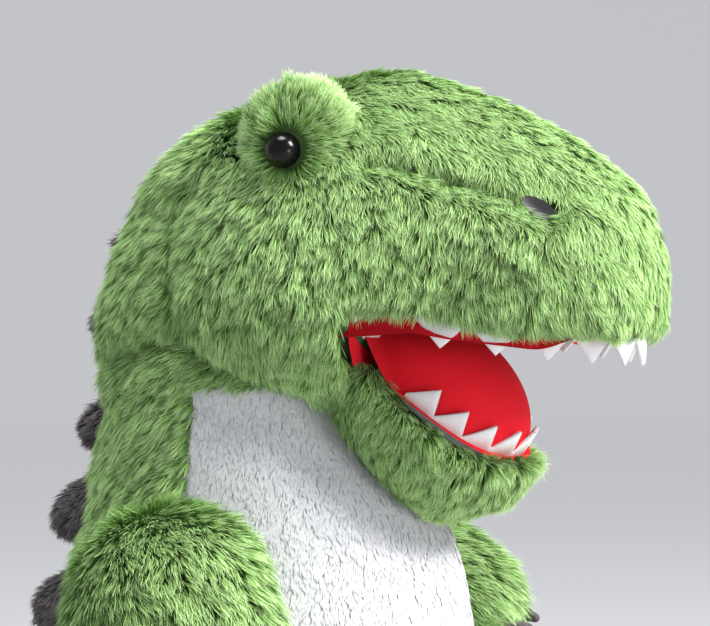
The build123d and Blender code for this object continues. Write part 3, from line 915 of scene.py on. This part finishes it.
def arm_world(local, pitch):
    """From the right arm's own frame, pointing along -Y, to the animal's: down by pitch, then tilted."""
    c, s = math.cos(pitch), math.sin(pitch)
    x, y, z = local[..., 0], local[..., 1], local[..., 2]
    y, z = y * c - z * s, y * s + z * c
    c, s = math.cos(ARM_TILT), math.sin(ARM_TILT)
    return SHOULDER + np.stack([x * c + z * s, y, -x * s + z * c], -1)


def arm_surface_at(pitch):
    """One right arm's surface."""
    def surface(t, turn):
        d, wide, high = between(ARM, t)
        angle = 2 * math.pi * turn
        x = np.minimum(ARM_OUT + wide * np.sin(angle), -0.6)
        return arm_world(np.stack([x, -d, high * np.cos(angle)], -1), pitch)
    return surface


for side, pitch in (("right", math.radians(52)), ("left", math.radians(14))):
    surface = arm_surface_at(pitch)
    flip = (1, 1, 1) if side == "right" else (-1, 1, 1)
    reach = (arm_world(np.array([0, -1.0, 0]), pitch) - SHOULDER) * flip
    if side == "left":
        surface = mirrored(surface)
    piece = skin(f"arm_backing_{side}", surface, (0, 1), (0, 1), inset=BACKING_DEPTH)
    dress(piece, f"arm_{side}", "green_plush", f"arm_outer_{side}", f"arm_inner_{side}", fill=0.85)
    filled(f"arm_filling_{side}", surface, f"arm_{side}", f"arm_stuffing_{side}")
    cover(f"arm_pile_{side}", surface, 2.35, lambda p, t, turn: np.ones(len(p), bool),
          lambda p, n: reach + (0, 0, -0.35), 10.5, 0.38, 0.75, 61,
          rides(f"arm_{side}"), green_pile)


# Legs -----------------------------------------------------------------------------------------------
# Big soft thighs that run into flat feet, which carry the animal. Each sole is a disc of grey plush.
THIGH = ((-66, -16, 74), (44, 60, 55))
FOOT = ((-70, -42, 18), (34, 62, 26))
SOLE_TOP = 2.5


def on_floor(surface):
    """The surface with nothing below the sole."""
    def cut(t, turn):
        p = surface(t, turn).copy()
        p[..., 2] = np.maximum(p[..., 2], SOLE_TOP + 0.4)
        return p
    return cut


def outside(middle, half):
    """A test for places outside an oval body on either side."""
    return lambda p, t, turn: near_oval(p, middle, half) > 1


def outside_torso(p, t, turn):
    """The places outside the torso's own form."""
    rows = np.array(TORSO, float)
    cy, a, b = [np.interp(p[:, 2], rows[:, 0], rows[:, k]) for k in (1, 2, 3)]
    return (p[:, 0] / a) ** 2 + ((p[:, 1] - cy) / b) ** 2 > 0.97


above_sole = lambda p, t, turn: p[:, 2] > SOLE_TOP + 1.0
leg_comb = lambda p, n: np.tile([0.0, -0.25, -1.0], (len(p), 1))
for side in ("right", "left"):
    for part, (middle, half), hidden in (("thigh", THIGH, FOOT), ("foot", FOOT, THIGH)):
        surface = on_floor(egg(middle, half))
        if side == "left":
            surface = mirrored(surface)
        piece = skin(f"{part}_backing_{side}", surface, (0, 1), (0, 1), inset=BACKING_DEPTH)
        dress(piece, "torso", "green_plush", f"leg_skin_{side}", fill=0.9)
        filled(f"{part}_filling_{side}", surface, "torso", f"leg_stuffing_{side}")
        cover(f"{part}_pile_{side}", surface, 1.15, all_of(outside(*hidden), outside_torso, above_sole),
              leg_comb, 10, 0.48, 0.6, 71, rides("torso"), green_pile)


# Tail -----------------------------------------------------------------------------------------------
# A thick stuffed tail that rests its tip just off the ground, green above and white below.
TAIL = [(196, 20, 0.5, 0.5), (194, 20, 4, 6), (188, 22, 9, 13), (172, 28, 17, 24), (150, 36, 25, 33),
        (120, 50, 33, 37), (85, 68, 40, 41), (62, 80, 42, 43), (40, 86, 41, 42)]
TAIL_SEAMS = (0.33, 0.67)


def tail_surface(t, turn):
    """Sections from the tip forwards, turn 0 at the top."""
    y, cz, wide, high = between(TAIL, t)
    angle = 2 * math.pi * turn
    return np.stack([wide * np.sin(angle), y, cz + high * np.cos(angle)], -1)


tail_comb = lambda p, n: np.stack([0 * p[:, 0], 1 + 0 * p[:, 0], -0.5 + 0 * p[:, 0]], -1)
clear_of_body = all_of(outside_torso, lambda p, t, turn: p[:, 1] > 42)
for side, limits in (("right", (0.66, 1.0)), ("left", (0.0, 0.34))):
    piece = skin(f"tail_backing_{side}", tail_surface, (0, 1), limits, inset=3.5)
    dress(piece, "tail", "green_plush", f"tail_side_{side}", fill=0.9)
piece = skin("tail_white_backing", tail_surface, (0, 1), TAIL_SEAMS, inset=0.8, material=white_backing)
dress(piece, "tail", "white_plush", "tail_underside", fill=0.9)
tail_green = lambda p, t, turn: (turn < TAIL_SEAMS[0] + 0.005) | (turn > TAIL_SEAMS[1] - 0.005)
tail_white = lambda p, t, turn: (turn > TAIL_SEAMS[0]) & (turn < TAIL_SEAMS[1])
filled("tail_filling", tail_surface, "tail", "tail_stuffing")
cover("tail_pile", tail_surface, 1.25, all_of(tail_green, clear_of_body), tail_comb, 10, 0.48, 0.58, 81,
      rides("tail"), green_pile)
cover("tail_white_pile", tail_surface, 0.9, all_of(tail_white, clear_of_body), tail_comb, 4.5, 0.5, 0.3, 82,
      rides("tail"), white_pile, depth=1.2, lock=3.0, gather=0.3)


# Spikes ---------------------------------------------------------------------------------------------
# Flat stuffed triangles of dark grey plush, sewn into the seam down the head, the back and the tail.
SPIKES = {"head_spike": ((38, 343, 26, 22, 22), (46, 315, 6, 24, 23)),
          "back_spike": ((53, 273, -10, 24, 27), (59, 235, -10, 31, 36), (66, 192, -5, 34, 38),
                         (70, 150, 0, 36, 38)),
          "tail_spike": ((108, 88, 62, 31, 34), (139, 65, 58, 26, 30), (166, 47, 55, 20, 24))}
SPIKE_FLAT = 0.42
SPIKE_SUNK = 8.0
# Its root colour is painted shade deep in the pile, and its tip colour is painted light on the tips.
grey_pile = pile_material("grey_pile", (30, 27, 29), (72, 66, 69), (124, 118, 121))
grey_backing = plain("grey_backing", (44, 40, 42), 0.9)


def spike_surface_at(y, z, rise, length, width):
    """A flattened cone with a round tip that points away from the back by rise degrees above level."""
    a = math.radians(90 - rise)
    def surface(t, turn):
        r = width / 2 * np.sqrt(np.maximum(1 - t ** 1.8, 0))
        h = -SPIKE_SUNK + (length + SPIKE_SUNK) * t
        angle = 2 * math.pi * turn
        p, q = SPIKE_FLAT * r * np.sin(angle), r * np.cos(angle)
        return np.stack([p, y + q * math.cos(a) + h * math.sin(a), z - q * math.sin(a) + h * math.cos(a)], -1)
    return surface, np.array([0, math.sin(a), math.cos(a)])


for kind, rows in SPIKES.items():
    body = kind.split("_")[0].replace("back", "torso")
    for i, row in enumerate(rows, 1):
        surface, out = spike_surface_at(*row)
        piece = skin(f"{kind}_backing_{i}", surface, (0, 1), (0, 1), rows=30, columns=40,
                     material=grey_backing)
        dress(piece, body, "grey_plush", f"{kind}_{i}", fill=0.7)
        cover(f"{kind}_pile_{i}", surface, 3.5, lambda p, t, turn: t > 0.15,
              lambda p, n, out=out: np.tile(out, (len(p), 1)) + (0, 0, -0.8), 6.5, 0.36, 0.6, 91 + i,
              rides(body), grey_pile, depth=1.5, lock=3.0)


# Neck -----------------------------------------------------------------------------------------------
# The ball of filling that the head turns on.
filled("neck_filling", egg((0, -10, 300), (46, 46, 46)), "neck", "neck_stuffing", inset=0)


# Soles, claws and beans -----------------------------------------------------------------------------
# The soles, the claws and the bag of beans that weights the seat keep the frame's own solids.
sole_plush = plain("sole_plush", (86, 80, 83), 0.95)
claw_plush = plain("claw_plush", (70, 65, 67), 0.9)
bean_cloth = plain("bean_cloth", (206, 198, 180), 0.9)
FINISHES = {"sole": (sole_plush, "sole_plush"), "claws": (claw_plush, "grey_plush"),
            "bean": (bean_cloth, "bean_cloth")}
for name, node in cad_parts.items():
    for word, (material, slot) in FINISHES.items():
        if word in name:
            node.data.materials.clear()
            node.data.materials.append(material)
